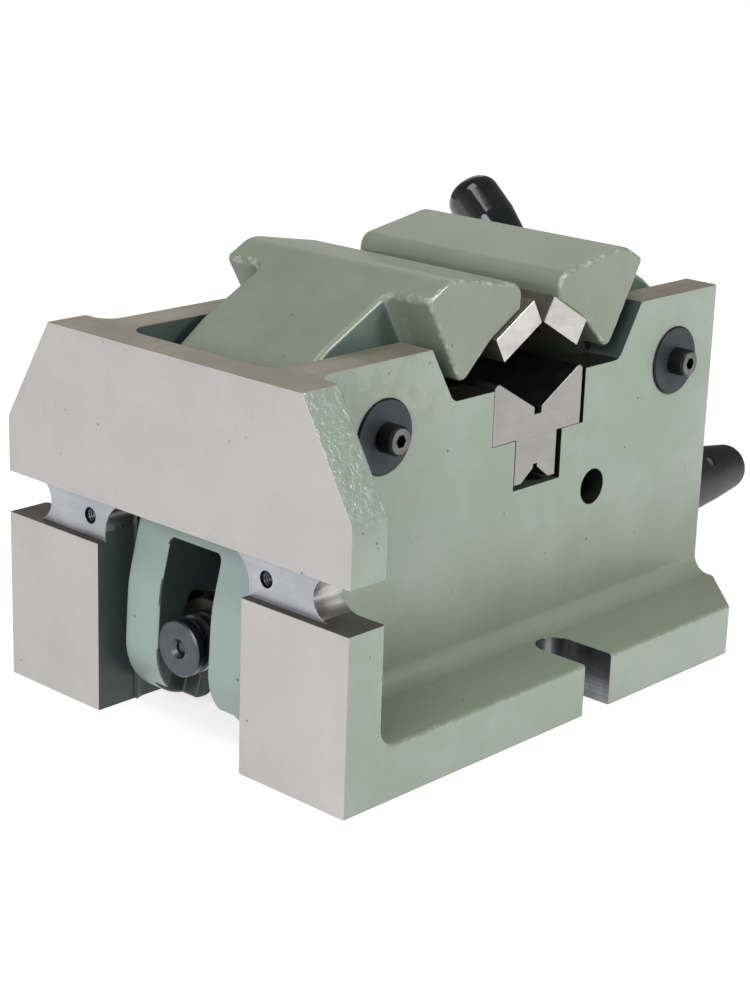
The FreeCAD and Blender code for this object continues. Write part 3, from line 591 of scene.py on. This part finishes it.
leadScrew = {
    "looks": ["oiled", "turned"], "height": 38.7 * mm, "pitch": 5 * mm, "root": 9.5 * mm, "crest": 11.9 * mm,
    "left": (-144.0 * mm, -60 * mm), "right": (60 * mm, 149 * mm), "steps": 48,
    "brightAbove": 11.7 * mm, "brightFrom": -145 * mm,
    "stub": ((-135, 0), (-135, 9.4), (-145.3, 9.4), (-145.3, 11.6), (-145.7, 12), (-148.3, 12), (-149, 11.3),
             (-149, 4.3), (-147.4, 2.7), (-146.0, 2.6), (-145, 0)),
    "middle": ((-62, 0), (-62, 9.4), (-56, 9.5), (-56, 11.4), (-55.4, 12), (-4, 12), (-4, 16.6), (-3.6, 17),
               (3.6, 17), (4, 16.6), (4, 12), (55.4, 12), (56, 11.4), (56, 9.5), (62, 9.4), (62, 0)),
    "shank": ((147, 0), (147, 11), (158, 11), (158, 9), (211.6, 9), (212, 8.6), (212, 0)),
}


def turnedShape(outline, steps=64):
    shape = bmesh.new()
    corners = [shape.verts.new((along * mm, 0, radius * mm)) for along, radius in outline]
    edges = [shape.edges.new(pair) for pair in zip(corners, corners[1:])]
    bmesh.ops.spin(shape, geom=corners + edges, cent=(0, 0, 0), axis=(1, 0, 0), angle=math.tau, steps=steps,
                   use_merge=True)
    bmesh.ops.remove_doubles(shape, verts=shape.verts, dist=0.001 * mm)
    bmesh.ops.recalc_face_normals(shape, faces=shape.faces)
    return shape


def threadShape(start, end, hand):
    pitch, root, crest, steps = (leadScrew[key] for key in ("pitch", "root", "crest", "steps"))
    turns = math.ceil((end - start) / pitch) + 3
    shape = bmesh.new()
    outline = ((0, root), (0.16, root), (0.30, crest), (0.66, crest), (0.80, root), (1, root))  # of one turn
    first = start - 1.5 * pitch
    corners = [shape.verts.new((first + share * pitch, 0, radius)) for share, radius in outline]
    edges = [shape.edges.new(pair) for pair in zip(corners, corners[1:])]
    bmesh.ops.spin(shape, geom=corners + edges, cent=(0, 0, 0), axis=(hand, 0, 0),
                   dvec=(pitch / steps, 0, 0), angle=math.tau * turns, steps=steps * turns)
    bmesh.ops.remove_doubles(shape, verts=shape.verts, dist=0.002 * mm)
    for along, way in ((start, -1), (end, 1)):
        cut = bmesh.ops.bisect_plane(shape, geom=shape.verts[:] + shape.edges[:] + shape.faces[:],
                                     plane_co=(along, 0, 0), plane_no=(way, 0, 0), clear_outer=True)
        rim = [item for item in cut["geom_cut"] if isinstance(item, bmesh.types.BMEdge)]
        bmesh.ops.contextual_create(shape, geom=rim)
    bmesh.ops.recalc_face_normals(shape, faces=shape.faces)
    return shape


def joinShapes(shapes):
    whole = bmesh.new()
    for shape in shapes:
        part = bpy.data.meshes.new("part")
        shape.to_mesh(part)
        shape.free()
        whole.from_mesh(part)
        bpy.data.meshes.remove(part)
    return whole


# the crests take the bright turned look as a painted highlight
def leadScrewLook(face):
    outside = all(math.hypot(vert.co.y, vert.co.z) > leadScrew["brightAbove"] for vert in face.verts)
    pastStub = face.calc_center_median().x > leadScrew["brightFrom"]
    return "turned" if outside and pastStub and abs(face.normal.x) < 0.5 else "oiled"


def makeLeadScrew():
    turnedParts = [turnedShape(leadScrew[key]) for key in ("stub", "middle", "shank")]
    threads = [threadShape(*leadScrew["left"], -1), threadShape(*leadScrew["right"], 1)]
    shape = joinShapes(turnedParts + threads)
    paintFaces(shape, leadScrew["looks"], leadScrewLook)
    bmesh.ops.translate(shape, verts=shape.verts, vec=(0, 0, leadScrew["height"]))
    return addPiece(shape, "leadScrew", "screw", leadScrew["looks"], ["lead_screw"], crease=30)


makeLeadScrew()
print("lead screw finished")

# Thread turns inside the two tapped holes of the key slot.

keyThread = {"looks": ["oiled"], "pitch": 1.25 * mm, "outer": 3.45 * mm, "inner": 2.95 * mm, "steps": 32,
             "start": -150.2 * mm, "turns": 12, "across": 52 * mm, "height": 83 * mm}


def makeKeyThread(name, across):
    pitch, outer, inner, steps, start, turns = (
        keyThread[key] for key in ("pitch", "outer", "inner", "steps", "start", "turns"))
    shape = bmesh.new()
    outline = ((0.06, outer), (0.5, inner), (0.94, outer))
    corners = [shape.verts.new((start + share * pitch, 0, radius)) for share, radius in outline]
    profile = shape.faces.new(corners)
    bmesh.ops.spin(shape, geom=[profile, *profile.edges, *corners], cent=(0, 0, 0), axis=(1, 0, 0),
                   dvec=(pitch / steps, 0, 0), angle=math.tau * turns, steps=steps * turns)
    bmesh.ops.recalc_face_normals(shape, faces=shape.faces)
    bmesh.ops.translate(shape, verts=shape.verts, vec=(0, across, keyThread["height"]))
    return addPiece(shape, name, "body", keyThread["looks"], crease=30)


makeKeyThread("nearKeyThread", -keyThread["across"])
makeKeyThread("farKeyThread", keyThread["across"])
print("key screw threads finished")

# Camera, lights, room and floor.

cameraSizes = {
    "place": (-0.6979, -0.6095, 0.3651), "lens": 78.3, "sensor": 36, "clip": (0.01, 200),
    "right": (0.6837, -0.7291, 0.0318), "down": (-0.2012, -0.2302, -0.9522),
    "forward": (0.7015, 0.6446, -0.3040),
}


def makeCamera():
    data = bpy.data.cameras.new("camera")
    data.lens = cameraSizes["lens"]
    data.sensor_width = cameraSizes["sensor"]
    data.sensor_fit = "AUTO"
    data.clip_start, data.clip_end = cameraSizes["clip"]
    camera = bpy.data.objects.new("camera", data)
    bpy.context.scene.collection.objects.link(camera)
    right, down, forward = (Vector(cameraSizes[key]) for key in ("right", "down", "forward"))
    turn = Matrix((right, -down, -forward)).transposed().to_4x4()
    camera.matrix_world = Matrix.Translation(cameraSizes["place"]) @ turn
    bpy.context.scene.camera = camera


makeCamera()

lightsAim = (0, 0, 0.08)
lights = {
    "keyBox": {"place": (0.45, -1.40, 1.06), "size": 0.45, "power": 17, "colour": (1.0, 1.0, 0.99)},
    "endBox": {"place": (-1.80, -0.55, 0.85), "size": 1.1, "power": 18.5, "colour": (0.98, 0.99, 1.0)},
    "backBox": {"place": (1.35, 1.50, 1.0), "size": 1.0, "power": 1.8, "colour": (1, 1, 1)},
    "topBox": {"place": (-0.60, 0.10, 1.75), "size": 1.0, "power": 10, "colour": (1.0, 1.0, 0.97)},
}


def makeLight(name, sizes):
    data = bpy.data.lights.new(name, "AREA")
    data.size = sizes["size"]
    data.energy = sizes["power"]
    data.color = sizes["colour"]
    light = bpy.data.objects.new(name, data)
    bpy.context.scene.collection.objects.link(light)
    light.location = sizes["place"]
    aim = Vector(lightsAim) - Vector(sizes["place"])
    light.rotation_euler = aim.to_track_quat("-Z", "Y").to_euler()


for name, sizes in lights.items():
    makeLight(name, sizes)

# The room is brighter on the camera's side, dark overhead, and white where the camera looks straight at it.

room = {"near": (0.48, 0.49, 0.50), "far": (0.20, 0.20, 0.19), "ceiling": (0.14, 0.135, 0.12),
        "seen": (1, 1, 1), "farWay": (0.74, 0.67), "farReach": (-0.2, 0.7), "ceilingUp": (0.05, 0.6)}


def makeRoom():
    world = bpy.data.worlds.new("room")
    world.use_nodes = True
    bpy.context.scene.world = world
    look = Graph(world.node_tree, "Generated")
    behind = look.step(look.x * room["farWay"][0] + look.y * room["farWay"][1], *room["farReach"])
    walls = look.mix(behind, room["near"], room["far"])
    lit = look.mix(look.step(look.z, *room["ceilingUp"]), walls, room["ceiling"])
    seen = look.mix(look.rays("Is Camera Ray"), lit, room["seen"])
    sky = look.node("ShaderNodeBackground", inputs={"Color": seen})
    look.node("ShaderNodeOutputWorld", inputs={"Surface": sky.outputs[0]})


makeRoom()

# The floor glows for the camera and in reflections, so it is white and still takes the vise's shadow.

floorPaper = {"size": 30, "colour": (0.60, 0.60, 0.60), "nearGlow": (0.72, 0.72, 0.72),
              "farGlow": (0.90, 0.90, 0.90), "glowReach": (0.5, 1.6), "drop": 0.2 * mm}


def makeFloor():
    shape = bmesh.new()
    bmesh.ops.create_grid(shape, x_segments=1, y_segments=1, size=floorPaper["size"])
    mesh = bpy.data.meshes.new("floor")
    shape.to_mesh(mesh)
    shape.free()
    look = Finish("floorPaper")
    away = look.math("SQRT", look.x * look.x + look.y * look.y)
    share = look.step(away, *floorPaper["glowReach"])
    paper = look.mix(share, floorPaper["nearGlow"], floorPaper["farGlow"])
    glow = look.mix(look.rays("Is Camera Ray", "Is Glossy Ray"), (0, 0, 0), paper)
    look.set(colour=floorPaper["colour"], rough=0.9, specular=0.1, glow=glow, glowPower=1)
    mesh.materials.append(look.material)
    floor = bpy.data.objects.new("floor", mesh)
    bpy.context.scene.collection.objects.link(floor)
    floor.location.z = -floorPaper["drop"]


makeFloor()
bpy.context.scene.view_settings.view_transform = "Standard"
print("camera, lights, room and floor placed")
